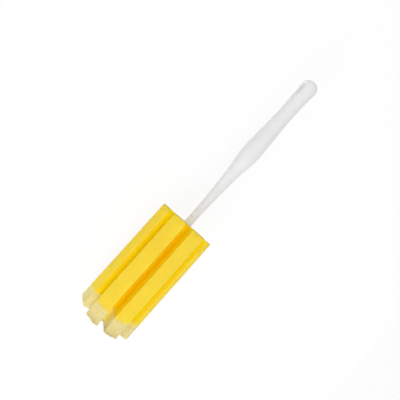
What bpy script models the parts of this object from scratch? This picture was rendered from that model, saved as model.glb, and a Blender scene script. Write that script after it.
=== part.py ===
"""Sponge cup brush: a lobed foam head on a barbed core, and a swelling handle that hangs from a slot.

Metres, +Z up. The brush lies along X with its foam tip towards +X, and the handle's slot opens along Y.
The origin is at the middle of the brush's length, on the surface that the foam lies on.
"""

import math

import bmesh
import bpy
from mathutils import Matrix

# Foam head: a round bar in two colours, bonded end to end, with V slots cut along its whole length.
FOAM_DIAMETER = 0.060
BODY_LENGTH = 0.104
TIP_LENGTH = 0.016
TIP_EDGE_RADIUS = 0.005
LOBES = 8
SLOT_MOUTH = 0.0080
SLOT_ROOT_RADIUS = 0.0020
WEB_UNDER_SLOT = 0.0012
LOBE_CORNER_RADIUS = 0.0007

# Core: a moulding with a neck in the open and a barbed rod inside the foam.
NECK_LENGTH = 0.0080
NECK_DIAMETER = 0.0080
NECK_FOOT_FLARE = 0.0008
NECK_FOOT_HEIGHT = 0.0045
ROD_DIAMETER = 0.0080
BARB_HEIGHT = 0.0015
BARB_LENGTH = 0.0060
BARB_COUNT = 8
FIRST_BARB_FROM_FACE = 0.0140
LAST_BARB_FROM_ROD_END = 0.0082
SPACE_PAST_SPIGOT = 0.0020
SPACE_PAST_SCREW = 0.0046

# Handle: one solid moulding. Each stretch runs from the station before it, and the first from the neck.
STEM_DIAMETER = 0.0079
NECK_TO_TAPER = 0.0320
TAPER_DIAMETER = 0.0098
TAPER_TO_SHOULDER = 0.0280
SHOULDER_DIAMETER = 0.0137
SHOULDER_TO_SWELL = 0.0260
SWELL_DIAMETER = 0.0190
SWELL_TO_WAIST = 0.0530
WAIST_DIAMETER = 0.0153
WAIST_TO_BULB_NECK = 0.0255
BULB_NECK_DIAMETER = 0.0166
BULB_NECK_TO_BULB = 0.0095
BULB_DIAMETER = 0.0177
BULB_END_LENGTH = 0.0080
SPIGOT_DIAMETER = 0.0048
SPIGOT_LENGTH = 0.028
SPIGOT_CHAMFER = 0.0008
BEAD_HEIGHT = 0.0005
BEAD_WIDTH = 0.0016
BEAD_FROM_SPIGOT_END = 0.006
HANG_SLOT_LENGTH = 0.0150
HANG_SLOT_WIDTH = 0.0068
HANG_SLOT_CORNER_RADIUS = 0.0024
HANG_SLOT_FROM_END = 0.0072
HANG_SLOT_EDGE_BREAK = 0.0006

# Retaining disc and its screw, which hold the body foam on the core under the tip foam.
DISC_DIAMETER = 0.0160
DISC_THICKNESS = 0.0020
DISC_RIM_CHAMFER = 0.0005
SCREW_DIAMETER = 0.0030
SCREW_LENGTH = 0.014
SCREW_HEAD_DIAMETER = 0.0060
SCREW_HEAD_HEIGHT = 0.0022
SCREW_POINT_LENGTH = 0.0020
CROSS_WIDTH = 0.0009
CROSS_LENGTH = 0.0034
CROSS_DEPTH = 0.0012

FIT = 0.0003

LOBE_FACETS = 5
CORNER_STEPS = 2
ROOT_STEPS = 2
TIP_EDGE_STEPS = 5
TURNED_STEPS = 32
SMALL_TURNED_STEPS = 20
HANDLE_RINGS = 46
BULB_RINGS = 7
CUTTER_MARGIN = 0.002
WELD = 1e-7

# Places along the axis count from the foam's face on the handle's side, and the tip is on the + side.
foam_radius = FOAM_DIAMETER / 2
foam_length = BODY_LENGTH + TIP_LENGTH
tip_start_x = BODY_LENGTH + FIT
disc_inner_x = BODY_LENGTH - DISC_THICKNESS
rod_end_x = disc_inner_x - FIT
screw_seat_x = BODY_LENGTH + FIT
screw_point_x = screw_seat_x - SCREW_LENGTH
disc_pocket_radius = DISC_DIAMETER / 2 + FIT
slot_root_from_axis = disc_pocket_radius + WEB_UNDER_SLOT
spigot_end_x = SPIGOT_LENGTH - NECK_LENGTH
waist_from_foam = (
    NECK_LENGTH + NECK_TO_TAPER + TAPER_TO_SHOULDER + SHOULDER_TO_SWELL + SWELL_TO_WAIST
)
bulb_neck_from_foam = waist_from_foam + WAIST_TO_BULB_NECK
bulb_from_foam = bulb_neck_from_foam + BULB_NECK_TO_BULB
handle_end_from_foam = bulb_from_foam + BULB_END_LENGTH
foam_face_x = (handle_end_from_foam - foam_length) / 2


def material(name, colour, roughness, metallic=0.0):
    """A plain surface finish."""
    made = bpy.data.materials.new(name)
    made.use_nodes = True
    shader = made.node_tree.nodes["Principled BSDF"]
    shader.inputs["Base Color"].default_value = (*colour, 1.0)
    shader.inputs["Roughness"].default_value = roughness
    shader.inputs["Metallic"].default_value = metallic
    return made


def clear_scene():
    for old in list(bpy.data.objects):
        bpy.data.objects.remove(old, do_unlink=True)


def axis_empty():
    """The brush's axis, at the height that lays the lowest lobe on the surface.

    Its origin is where the axis leaves the foam on the handle's side.
    """
    empty = bpy.data.objects.new("brush_axis", None)
    lowest = min(z for y, z in lobed_outline(foam_radius))
    empty.location = (foam_face_x, 0.0, -lowest)
    bpy.context.scene.collection.objects.link(empty)
    return empty


def add_object(name, bm, axis, finish=None):
    """Turns the bmesh into an object on the brush's axis, smooth but for its real edges."""
    bmesh.ops.recalc_face_normals(bm, faces=bm.faces)
    mesh = bpy.data.meshes.new(name)
    bm.to_mesh(mesh)
    bm.free()
    mesh.shade_smooth()
    mesh.set_sharp_from_angle(angle=math.radians(32))
    if finish:
        mesh.materials.append(finish)
    made = bpy.data.objects.new(name, mesh)
    made.parent = axis
    bpy.context.scene.collection.objects.link(made)
    return made


def cut(target, cutter):
    """Subtracts one shape from another and keeps the cutter as a hidden wire guide."""
    cutter.hide_render = True
    cutter.display_type = "WIRE"
    boolean = target.modifiers.new("cut " + cutter.name, "BOOLEAN")
    boolean.operation = "DIFFERENCE"
    boolean.solver = "EXACT"
    boolean.object = cutter


def turned(profile, steps):
    """Spins an outline of (x, radius) points round X. It ends on the axis, or it is a closed ring."""
    bm = bmesh.new()
    points = [bm.verts.new((x, 0.0, radius)) for x, radius in profile]
    edges = [bm.edges.new(pair) for pair in zip(points, points[1:])]
    bmesh.ops.spin(
        bm,
        geom=points + edges,
        cent=(0.0, 0.0, 0.0),
        axis=(1.0, 0.0, 0.0),
        angle=math.tau,
        steps=steps,
    )
    bmesh.ops.remove_doubles(bm, verts=bm.verts, dist=WELD)
    return bm


def lofted(rings):
    """Joins rings with the same number of points, each a list of (x, y, z), and closes both ends."""
    bm = bmesh.new()
    loops = [[bm.verts.new(point) for point in ring] for ring in rings]
    count = len(loops[0])
    for low, high in zip(loops, loops[1:]):
        for here in range(count):
            there = (here + 1) % count
            bm.faces.new((low[here], low[there], high[there], high[here]))
    bm.faces.new(loops[0])
    bm.faces.new(loops[-1])
    return bm


def arc(centre, radius, start, end, steps):
    """Points along a circle from one angle to another, both ends included."""
    points = []
    for step in range(steps + 1):
        angle = start + (end - start) * step / steps
        points.append(
            (
                centre[0] + radius * math.cos(angle),
                centre[1] + radius * math.sin(angle),
            )
        )
    return points


def half_slot(outer_radius):
    """One side of a foam slot, from the middle of its root to the lobe's outer face.

    Points are (distance out from the axis along the slot's middle line, distance to the side). The wall is
    the line through the mouth's corner that touches the round root. The corner's small radius touches both
    the wall and the outer face.
    """
    side = SLOT_MOUTH / 2
    root_centre = slot_root_from_axis + SLOT_ROOT_RADIUS
    out = math.sqrt(foam_radius**2 - side**2) - root_centre
    lean = math.atan2(side, out) - math.asin(SLOT_ROOT_RADIUS / math.hypot(out, side))
    root = arc(
        (root_centre, 0.0), SLOT_ROOT_RADIUS, math.pi, math.pi / 2 + lean, ROOT_STEPS
    )

    along = (math.cos(lean), math.sin(lean))
    start = (
        root[-1][0] - LOBE_CORNER_RADIUS * along[1],
        root[-1][1] + LOBE_CORNER_RADIUS * along[0],
    )
    reach = along[0] * start[0] + along[1] * start[1]
    short_by = start[0] ** 2 + start[1] ** 2 - (outer_radius - LOBE_CORNER_RADIUS) ** 2
    travel = math.sqrt(reach**2 - short_by) - reach
    centre = (start[0] + travel * along[0], start[1] + travel * along[1])
    corner = arc(
        centre,
        LOBE_CORNER_RADIUS,
        lean - math.pi / 2,
        math.atan2(centre[1], centre[0]),
        CORNER_STEPS,
    )
    return root + corner


def lobed_outline(outer_radius):
    """The foam's section as (y, z) points: even slots, with a lobe at the top and at the bottom."""
    half = half_slot(outer_radius)
    mirrored = [(out, -side) for out, side in reversed(half[1:])]
    edge_angle = math.atan2(half[-1][1], half[-1][0])
    pitch = math.tau / LOBES
    face = arc((0.0, 0.0), outer_radius, edge_angle, pitch - edge_angle, LOBE_FACETS)
    period = mirrored + half + face[1:-1]
    points = []
    for lobe in range(LOBES):
        turn = (lobe + 0.5) * pitch
        for out, side in period:
            points.append(
                (
                    out * math.sin(turn) + side * math.cos(turn),
                    out * math.cos(turn) - side * math.sin(turn),
                )
            )
    return points


def foam_ring(x, outer_radius):
    return [(x, y, z) for y, z in lobed_outline(outer_radius)]


def bead_profile(x, radius, clearance=0.0):
    """A snap bead, or the groove that it snaps into, which a clearance makes longer.

    It is a low ridge with a slope on each side, and its points run from +x to -x.
    """
    grown = clearance / 2
    slope = BEAD_WIDTH / 4
    return [
        (x + grown, radius),
        (x + grown - slope, radius + BEAD_HEIGHT),
        (x - grown - BEAD_WIDTH + slope, radius + BEAD_HEIGHT),
        (x - grown - BEAD_WIDTH, radius),
    ]


def barbed_profile(clearance):
    """The rod's outside from the foam's face to its far end, grown by a clearance.

    Each barb slopes on the side that the foam is pushed on from and is square on the other. The barbs are
    spread evenly between the first and the last.
    """
    rod = ROD_DIAMETER / 2 + clearance
    barb = rod + BARB_HEIGHT
    last_barb = rod_end_x - LAST_BARB_FROM_ROD_END - BARB_LENGTH
    pitch = (last_barb - FIRST_BARB_FROM_FACE) / (BARB_COUNT - 1)
    points = []
    for number in range(BARB_COUNT):
        back = FIRST_BARB_FROM_FACE + number * pitch
        points.append((back - clearance, rod))
        points.append((back - clearance, barb))
        points.append((back + BARB_LENGTH, rod))
    return points


def make_foam_body(axis):
    finish = material("yellow_foam", (0.93, 0.62, 0.05), 0.95)
    body = add_object(
        "sponge_body",
        lofted([foam_ring(0.0, foam_radius), foam_ring(BODY_LENGTH, foam_radius)]),
        axis,
        finish,
    )
    bore_radius = ROD_DIAMETER / 2 + FIT
    bore = [
        (-CUTTER_MARGIN, 0.0),
        (-CUTTER_MARGIN, bore_radius),
        *barbed_profile(FIT),
        (rod_end_x, bore_radius),
        (rod_end_x, disc_pocket_radius),
        (BODY_LENGTH + CUTTER_MARGIN, disc_pocket_radius),
        (BODY_LENGTH + CUTTER_MARGIN, 0.0),
    ]
    cut(body, add_object("body_bore_cutter", turned(bore, SMALL_TURNED_STEPS), axis))


def make_foam_tip(axis):
    finish = material("cream_foam", (0.80, 0.70, 0.42), 0.95)
    rings = [foam_ring(tip_start_x, foam_radius)]
    for step in range(TIP_EDGE_STEPS + 1):
        angle = math.pi / 2 * step / TIP_EDGE_STEPS
        x = foam_length - TIP_EDGE_RADIUS * (1 - math.sin(angle))
        rings.append(foam_ring(x, foam_radius - TIP_EDGE_RADIUS * (1 - math.cos(angle))))
    tip = add_object("sponge_tip", lofted(rings), axis, finish)
    pocket_radius = SCREW_HEAD_DIAMETER / 2 + FIT
    pocket_end = screw_seat_x + SCREW_HEAD_HEIGHT + FIT
    pocket = [
        (BODY_LENGTH - CUTTER_MARGIN, 0.0),
        (BODY_LENGTH - CUTTER_MARGIN, pocket_radius),
        (pocket_end, pocket_radius),
        (pocket_end, 0.0),
    ]
    cut(tip, add_object("tip_pocket_cutter", turned(pocket, SMALL_TURNED_STEPS), axis))


def neck_outside():
    """The neck's outside from its mouth to the foam: straight, then a hollow flare with a thin foot."""
    neck = NECK_DIAMETER / 2
    points = [(-NECK_LENGTH, neck)]
    for step in range(CORNER_STEPS * 2 + 1):
        share = step / (CORNER_STEPS * 2)
        x = -FIT - NECK_FOOT_HEIGHT * (1 - share)
        points.append((x, neck + NECK_FOOT_FLARE * (1 - math.sqrt(1 - share**2))))
    return points


def make_head_core(axis):
    finish = material("white_plastic_core", (0.80, 0.80, 0.78), 0.45)
    socket_radius = SPIGOT_DIAMETER / 2 + FIT
    socket_end = spigot_end_x + SPACE_PAST_SPIGOT
    pilot_end = screw_point_x - SPACE_PAST_SCREW
    profile = [
        (socket_end, 0.0),
        (socket_end, socket_radius),
        *bead_profile(spigot_end_x - BEAD_FROM_SPIGOT_END, socket_radius, FIT),
        (-NECK_LENGTH, socket_radius),
        *neck_outside(),
        (-FIT, ROD_DIAMETER / 2),
        *barbed_profile(0.0),
        (rod_end_x, ROD_DIAMETER / 2),
        (rod_end_x, SCREW_DIAMETER / 2 + FIT),
        (pilot_end, SCREW_DIAMETER / 2 + FIT),
        (pilot_end, 0.0),
    ]
    add_object("head_core", turned(profile, TURNED_STEPS), axis, finish)


def handle_radius(from_foam):
    """The handle's radius at a distance from the foam: a smooth curve through the stations.

    It is level at each largest and smallest one.
    """
    taper = NECK_LENGTH + NECK_TO_TAPER
    shoulder = taper + TAPER_TO_SHOULDER
    stations = [
        (NECK_LENGTH, STEM_DIAMETER / 2),
        (taper, TAPER_DIAMETER / 2),
        (shoulder, SHOULDER_DIAMETER / 2),
        (shoulder + SHOULDER_TO_SWELL, SWELL_DIAMETER / 2),
        (waist_from_foam, WAIST_DIAMETER / 2),
        (bulb_neck_from_foam, BULB_NECK_DIAMETER / 2),
        (bulb_from_foam, BULB_DIAMETER / 2),
    ]
    rises = [
        (high[1] - low[1]) / (high[0] - low[0])
        for low, high in zip(stations, stations[1:])
    ]
    slopes = [0.0]
    for before, after in zip(rises, rises[1:]):
        level = before * after <= 0
        slopes.append(0.0 if level else 2 * before * after / (before + after))
    slopes.append(0.0)
    last = len(rises) - 1
    span = min(sum(from_foam > station[0] for station in stations[1:]), last)
    (x0, r0), (x1, r1) = stations[span], stations[span + 1]
    width = x1 - x0
    t = (from_foam - x0) / width
    return (
        r0 * (1 + 2 * t) * (1 - t) ** 2
        + slopes[span] * width * t * (1 - t) ** 2
        + r1 * t**2 * (3 - 2 * t)
        + slopes[span + 1] * width * t**2 * (t - 1)
    )


def make_handle(axis):
    finish = material("white_plastic_handle", (0.82, 0.82, 0.82), 0.38)
    spigot = SPIGOT_DIAMETER / 2
    profile = [
        (spigot_end_x, 0.0),
        (spigot_end_x, spigot - SPIGOT_CHAMFER),
        (spigot_end_x - SPIGOT_CHAMFER, spigot),
        *bead_profile(spigot_end_x - BEAD_FROM_SPIGOT_END, spigot),
        (-NECK_LENGTH - FIT, spigot),
    ]
    start = NECK_LENGTH + FIT
    for ring in range(HANDLE_RINGS + 1):
        from_foam = start + (bulb_from_foam - start) * ring / HANDLE_RINGS
        profile.append((-from_foam, handle_radius(from_foam)))
    for ring in range(1, BULB_RINGS + 1):
        angle = math.pi / 2 * ring / BULB_RINGS
        x = -bulb_from_foam - BULB_END_LENGTH * math.sin(angle)
        profile.append((x, BULB_DIAMETER / 2 * math.cos(angle)))
    profile[-1] = (-handle_end_from_foam, 0.0)
    handle = add_object("handle", turned(profile, TURNED_STEPS), axis, finish)
    cut(handle, hang_slot_cutter(axis))


def hang_slot_cutter(axis):
    """A rounded rectangle along Y that widens where it leaves the handle, which breaks the slot's edges."""
    centre_x = -handle_end_from_foam + HANG_SLOT_FROM_END + HANG_SLOT_LENGTH / 2
    surface = BULB_DIAMETER / 2 * math.cos(math.asin(HANG_SLOT_WIDTH / BULB_DIAMETER))
    break_at = surface - HANG_SLOT_EDGE_BREAK
    far = surface + CUTTER_MARGIN
    growth = far - break_at
    sections = ((-far, growth), (-break_at, 0.0), (break_at, 0.0), (far, growth))
    rings = []
    for y, grown in sections:
        ring = []
        for corner in range(4):
            turn = math.pi / 2 * corner
            across = HANG_SLOT_LENGTH / 2 if corner in (0, 3) else -HANG_SLOT_LENGTH / 2
            up = HANG_SLOT_WIDTH / 2 if corner in (0, 1) else -HANG_SLOT_WIDTH / 2
            inset = HANG_SLOT_CORNER_RADIUS
            centre = (
                across - math.copysign(inset, across),
                up - math.copysign(inset, up),
            )
            corner_points = arc(
                centre, inset + grown, turn, turn + math.pi / 2, CORNER_STEPS * 2
            )
            ring += [(centre_x + x, y, z) for x, z in corner_points]
        rings.append(ring)
    return add_object("hang_slot_cutter", lofted(rings), axis)


def make_retaining_disc(axis):
    finish = material("white_plastic_disc", (0.80, 0.80, 0.78), 0.5)
    hole = SCREW_DIAMETER / 2 + FIT
    rim = DISC_DIAMETER / 2
    profile = [
        (disc_inner_x, hole),
        (disc_inner_x, rim - DISC_RIM_CHAMFER),
        (disc_inner_x + DISC_RIM_CHAMFER, rim),
        (BODY_LENGTH - DISC_RIM_CHAMFER, rim),
        (BODY_LENGTH, rim - DISC_RIM_CHAMFER),
        (BODY_LENGTH, hole),
        (disc_inner_x, hole),
    ]
    add_object("retaining_disc", turned(profile, TURNED_STEPS), axis, finish)


def make_disc_screw(axis):
    finish = material("steel_screw", (0.62, 0.62, 0.64), 0.32, 1.0)
    shank = SCREW_DIAMETER / 2
    head = SCREW_HEAD_DIAMETER / 2
    crown_start = screw_seat_x + SCREW_HEAD_HEIGHT / 2
    crown = []
    for step in range(CORNER_STEPS * 2 + 1):
        angle = math.pi / 2 * step / (CORNER_STEPS * 2)
        x = crown_start + SCREW_HEAD_HEIGHT / 2 * math.sin(angle)
        crown.append((x, head * (1 + math.cos(angle)) / 2))
    profile = [
        (screw_point_x, 0.0),
        (screw_point_x + SCREW_POINT_LENGTH, shank),
        (screw_seat_x, shank),
        (screw_seat_x, head),
        *crown,
        (screw_seat_x + SCREW_HEAD_HEIGHT, 0.0),
    ]
    screw = add_object("disc_screw", turned(profile, SMALL_TURNED_STEPS), axis, finish)
    for number, sides in enumerate(
        ((CROSS_WIDTH, CROSS_LENGTH), (CROSS_LENGTH, CROSS_WIDTH))
    ):
        bm = bmesh.new()
        bmesh.ops.create_cube(bm, size=1.0)
        depth = CROSS_DEPTH * 2
        middle = Matrix.Translation((screw_seat_x + SCREW_HEAD_HEIGHT, 0.0, 0.0))
        bmesh.ops.transform(
            bm, matrix=middle @ Matrix.Diagonal((depth, *sides, 1.0)), verts=bm.verts
        )
        cut(screw, add_object(f"screw_cross_cutter_{number + 1}", bm, axis))


def main():
    clear_scene()
    axis = axis_empty()
    make_foam_body(axis)
    make_foam_tip(axis)
    make_head_core(axis)
    make_handle(axis)
    make_retaining_disc(axis)
    make_disc_screw(axis)


main()
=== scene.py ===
import math

import bmesh
import bpy
import numpy as np
from mathutils import Matrix, Vector


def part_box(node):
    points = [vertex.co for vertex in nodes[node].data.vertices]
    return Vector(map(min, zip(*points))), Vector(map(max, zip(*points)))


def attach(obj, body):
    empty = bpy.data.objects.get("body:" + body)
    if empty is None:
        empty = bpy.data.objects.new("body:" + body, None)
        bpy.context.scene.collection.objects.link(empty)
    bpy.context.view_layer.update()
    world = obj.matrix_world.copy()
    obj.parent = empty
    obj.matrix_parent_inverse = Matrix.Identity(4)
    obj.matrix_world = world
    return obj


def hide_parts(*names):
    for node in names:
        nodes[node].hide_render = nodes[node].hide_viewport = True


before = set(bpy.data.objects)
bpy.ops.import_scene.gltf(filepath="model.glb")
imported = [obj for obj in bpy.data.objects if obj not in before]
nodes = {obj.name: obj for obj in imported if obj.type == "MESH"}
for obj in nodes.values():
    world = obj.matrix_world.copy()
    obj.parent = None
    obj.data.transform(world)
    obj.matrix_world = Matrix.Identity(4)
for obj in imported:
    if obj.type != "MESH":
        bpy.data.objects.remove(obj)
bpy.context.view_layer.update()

# The brush lies along X. Places on it count from the foam's face at the handle's side, towards the tip.
handleLow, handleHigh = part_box("handle")
bodyLow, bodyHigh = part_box("sponge_body")
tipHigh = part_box("sponge_tip")[1]
axisHeight = (handleLow[2] + handleHigh[2]) / 2
foamFace = bodyLow[0]
bodyLength = bodyHigh[0] - foamFace
headLength = tipHigh[0] - foamFace
handleEnd = foamFace - handleLow[0]
print("frame loaded:", ", ".join(sorted(nodes)))


# Numbers and noise

seeds = {
    "bond": 11, "waves": 21, "ripples": 22, "lumps": 23, "pores": 31, "endWaves": 41, "endRipples": 42
}


def ease(value, start, end):
    # 0 before start and 1 after end, with 3t^2 - 2t^3 between them.
    t = np.clip((value - start) / (end - start), 0.0, 1.0)
    return t * t * (3.0 - 2.0 * t)


def latticeRandom(corner, seed):
    # A number from 0 to 1 for each whole-number point, the same in each run: its counts are multiplied
    # by primes and added, and their bits shifted and mixed.
    mixed = corner.astype(np.int64) @ np.array([73856093, 19349663, 83492791]) + seed * 6151
    mixed = (mixed ^ (mixed >> 13)) * 1274126177
    mixed = (mixed ^ (mixed >> 15)) * 83492791
    return ((mixed >> 7) & 0xFFFFF) / 0x100000


def softNoise(points, size, seed):
    # Smooth noise from -1 to 1: the random values at the eight corners of a point's cell, each weighted
    # by how near it is.
    scaled = points / size
    cell = np.floor(scaled)
    part = scaled - cell
    part = part * part * (3.0 - 2.0 * part)
    total = np.zeros(len(points))
    for corner in np.ndindex(2, 2, 2):
        weight = np.prod(np.where(np.array(corner) == 1, part, 1.0 - part), axis=1)
        total += weight * latticeRandom(cell + corner, seed)
    return total * 2.0 - 1.0


def nearestCell(points, size, seed):
    # One centre is scattered in each cell of a lattice. Returns how far a point is from the nearest
    # centre, in cells, and that centre's own random number.
    scaled = points / size
    cell = np.floor(scaled)
    least = np.full(len(points), 9.0)
    own = np.zeros(len(points))
    for step in np.ndindex(3, 3, 3):
        near = cell + np.array(step) - 1
        centre = near + np.stack([latticeRandom(near, seed + axis) for axis in range(3)], axis=1)
        away = np.linalg.norm(scaled - centre, axis=1)
        closer = away < least
        least = np.where(closer, away, least)
        own = np.where(closer, latticeRandom(near, seed + 3), own)
    return least, own


# Meshes

def addObject(name, data):
    made = bpy.data.objects.new(name, data)
    bpy.context.scene.collection.objects.link(made)
    return made


def buildPiece(name, patches, sharpAngle):
    # Each patch is a grid of points (rows, columns, 3). Points in the same half micrometre are merged, a
    # quad that this pinches becomes a triangle, and the faces are turned outwards.
    corners = []
    start = 0
    for patch in patches:
        rows, columns = patch.shape[:2]
        number = start + np.arange(rows * columns).reshape(rows, columns)
        quads = [number[:-1, :-1], number[:-1, 1:], number[1:, 1:], number[1:, :-1]]
        corners.append(np.stack(quads, axis=-1).reshape(-1, 4))
        start += rows * columns
    points = np.concatenate([patch.reshape(-1, 3) for patch in patches])
    places = np.rint(points * 2e6).astype(np.int64)
    first, merged = np.unique(places, axis=0, return_index=True, return_inverse=True)[1:]
    quads = merged.ravel()[np.concatenate(corners)]
    repeated = quads == np.roll(quads, -1, axis=1)
    count = repeated.sum(axis=1)
    whole = quads[count == 0]
    pinched = quads[count == 1][~repeated[count == 1]].reshape(-1, 3)

    mesh = bpy.data.meshes.new(name)
    mesh.from_pydata(points[first], [], whole.tolist() + pinched.tolist())
    bm = bmesh.new()
    bm.from_mesh(mesh)
    bmesh.ops.recalc_face_normals(bm, faces=bm.faces)
    bm.to_mesh(mesh)
    bm.free()
    mesh.shade_smooth()
    mesh.set_sharp_from_angle(angle=math.radians(sharpAngle))
    return addObject(name, mesh)


def readPoints(mesh, kind="co"):
    values = np.empty(len(mesh.vertices) * 3, np.float32)
    mesh.vertices.foreach_get(kind, values)
    return values.reshape(-1, 3).astype(float)


def pushOut(piece, amount):
    # Moves each vertex along its normal by amount(points).
    points = readPoints(piece.data)
    moved = points + readPoints(piece.data, "normal") * amount(points)[:, None]
    piece.data.vertices.foreach_set("co", moved.astype(np.float32).ravel())
    piece.data.update()


def allRound(columns, start=0.0):
    # Angles once round the axis, the last the same as the first.
    angle = np.linspace(0.0, math.tau, columns + 1) + start
    angle[-1] = angle[0]
    return angle


def turned(profile, angle):
    # A surface of revolution: the outline's (x, radius) points carried round the brush's axis.
    x, radius = profile.T[..., None]
    return onAxis(x, radius * np.cos(angle), radius * np.sin(angle))


def onAxis(x, y, z):
    # From places counted from the foam's face and the axis to the row frame.
    return np.stack(np.broadcast_arrays(foamFace + x, y, axisHeight + z), axis=-1)


def softened(profile, radius, steps=3, most=0.45):
    # Rounds each inner corner of an outline: from a point short of it to a point past it, at most a share
    # of a side away, by a curve that leaves and arrives along both sides, (1-t)^2 a + 2t(1-t) b + t^2 c.
    points = np.array(profile, float)
    rounded = [points[0]]
    for before, corner, after in zip(points, points[1:], points[2:]):
        back, ahead = before - corner, after - corner
        reach = min(radius, np.linalg.norm(back) * most, np.linalg.norm(ahead) * most)
        a = corner + back / np.linalg.norm(back) * reach
        c = corner + ahead / np.linalg.norm(ahead) * reach
        for t in np.linspace(0.0, 1.0, steps + 1):
            rounded.append((1 - t) ** 2 * a + 2 * t * (1 - t) * corner + t * t * c)
    rounded.append(points[-1])
    return np.array(rounded)


# Foam head: the lobed outline, and the two foams made from it

foamHead = {
    "radius": 0.0300,
    "lobes": 8,
    "slotMouth": 0.0080,
    "slotRoot": 0.0095,  # from the axis
    "slotRootRadius": 0.0020,
    "cornerRadius": 0.0007,
    "coreCircle": 0.0089,  # the end faces are lobes outside it and rings inside it
    "halfFaceSteps": 14,
    "cornerSteps": 4,
    "wallSteps": 30,
    "rootSteps": 6,
    "coreSteps": 2,  # between the core circle and the slots' roots
    "swellGrows": (0.012, 0.020),  # from the axis, where a wall's swell starts and is whole
    "swellSide": 0.004,  # and across from the lobe's middle line
    "roughMargin": 0.001,  # the skin's roughness fades this far on both sides of the core circle
    "bondGap": 0.00001,
    "bondWave": (0.00016, 0.009),  # height and size
}
pitch = math.tau / foamHead["lobes"]
coreCircle = foamHead["coreCircle"]


def arcPoints(centreOut, centreSide, radius, start, end, steps):
    # Points round a circle from one angle to another. Centre, radius and angles may be arrays.
    share = np.linspace(0.0, 1.0, steps + 1)
    angle = start + (end - start) * share
    return np.stack([centreOut + radius * np.cos(angle), centreSide + radius * np.sin(angle)], axis=-1)


def halfLobe(outerRadius, cornerRadius=foamHead["cornerRadius"]):
    # One side of a lobe, from the slot's bottom to the middle of the outer face, for an array of outer
    # radii. The slot's wall is the line that touches its round root and runs to the mouth's edge, and a
    # small arc touches both it and the outer face. Points are (out along the lobe, across it).
    f = foamHead
    outer = np.asarray(outerRadius, float)[..., None]
    corner = np.broadcast_to(cornerRadius, outer.shape[:-1])[..., None]
    side = f["slotMouth"] / 2
    rootCentre = f["slotRoot"] + f["slotRootRadius"]
    out = math.sqrt(f["radius"] ** 2 - side**2) - rootCentre
    lean = math.atan2(side, out) - math.asin(f["slotRootRadius"] / math.hypot(out, side))
    root = arcPoints(rootCentre, 0.0, f["slotRootRadius"], math.pi, math.pi / 2 + lean, f["rootSteps"])
    root = np.broadcast_to(root, (*outer.shape[:-1], *root.shape))

    along = np.array([math.cos(lean), math.sin(lean)])
    start = root[..., -1, :] + corner * np.array([-along[1], along[0]])
    reach = start @ along
    travel = np.sqrt(reach**2 - (start**2).sum(axis=-1) + (outer - corner)[..., 0] ** 2) - reach
    centre = start + travel[..., None] * along
    edge = np.arctan2(centre[..., 1], centre[..., 0])[..., None]
    bend = arcPoints(centre[..., :1], centre[..., 1:], corner, lean - math.pi / 2, edge, f["cornerSteps"])
    share = np.linspace(0.0, 1.0, f["wallSteps"] + 1)[1:-1, None]
    wall = root[..., -1:, :] * (1 - share) + bend[..., :1, :] * share
    face = arcPoints(0.0, 0.0, outer, edge, pitch / 2, f["halfFaceSteps"])
    path = np.concatenate([root, wall, bend, face[..., 1:, :]], axis=-2)
    cosine, sine = math.cos(pitch / 2), math.sin(pitch / 2)
    return path @ np.array([[cosine, -sine], [sine, cosine]])


def wholeLobe(outerRadius, corners=(foamHead["cornerRadius"],) * 2, swells=(0.0, 0.0)):
    # Both sides. A side's swell moves its wall sideways where the lobe is wide.
    sides = []
    for corner, swell in zip(corners, swells):
        half = halfLobe(outerRadius, corner)
        away = np.hypot(half[..., 0], half[..., 1])
        share = ease(away, *foamHead["swellGrows"]) * ease(-half[..., 1], 0.0, foamHead["swellSide"])
        half[..., 1] -= np.broadcast_to(swell, share.shape[:-1])[..., None] * share
        sides.append(half)
    return np.concatenate([sides[0], sides[1][..., -2::-1, :] * np.array([1.0, -1.0])], axis=-2)


def lobesToAxis(points):
    # (out, across) points for each row, lobe and column, to (y, z). Lobe 0 stands straight up, and the
    # next ones follow towards +Y.
    return onRing(points, np.arange(foamHead["lobes"])[:, None] * pitch)


def onRing(points, turn):
    out, across = points[..., 0], points[..., 1]
    return out * np.sin(turn) + across * np.cos(turn), out * np.cos(turn) - across * np.sin(turn)


def bondPlane(y, z, side):
    # The two foams meet on a nearly flat face that waves a little, as a glued saw cut does. The side is
    # -1 for the body's face and 1 for the tip's.
    height, size = foamHead["bondWave"]
    points = np.stack([np.zeros_like(y), y, z], axis=-1)
    wave = softNoise(points.reshape(-1, 3), size, seeds["bond"]).reshape(y.shape)
    return bodyLength + height * wave + side * foamHead["bondGap"]


def capRows(lobe):
    # The left side of a lobe's end face: from the core circle up the slot's middle, then along the
    # lobe's edge to its outer face.
    f = foamHead
    middle = np.array([math.cos(pitch / 2), -math.sin(pitch / 2)])
    share = np.linspace(0.0, 1.0, f["coreSteps"] + 1)[:-1, None]
    radii = coreCircle + (f["slotRoot"] - coreCircle) * share
    edge = lobe[: f["rootSteps"] + f["wallSteps"] + f["cornerSteps"] + 1]
    return np.concatenate([radii * middle, edge])


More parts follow.
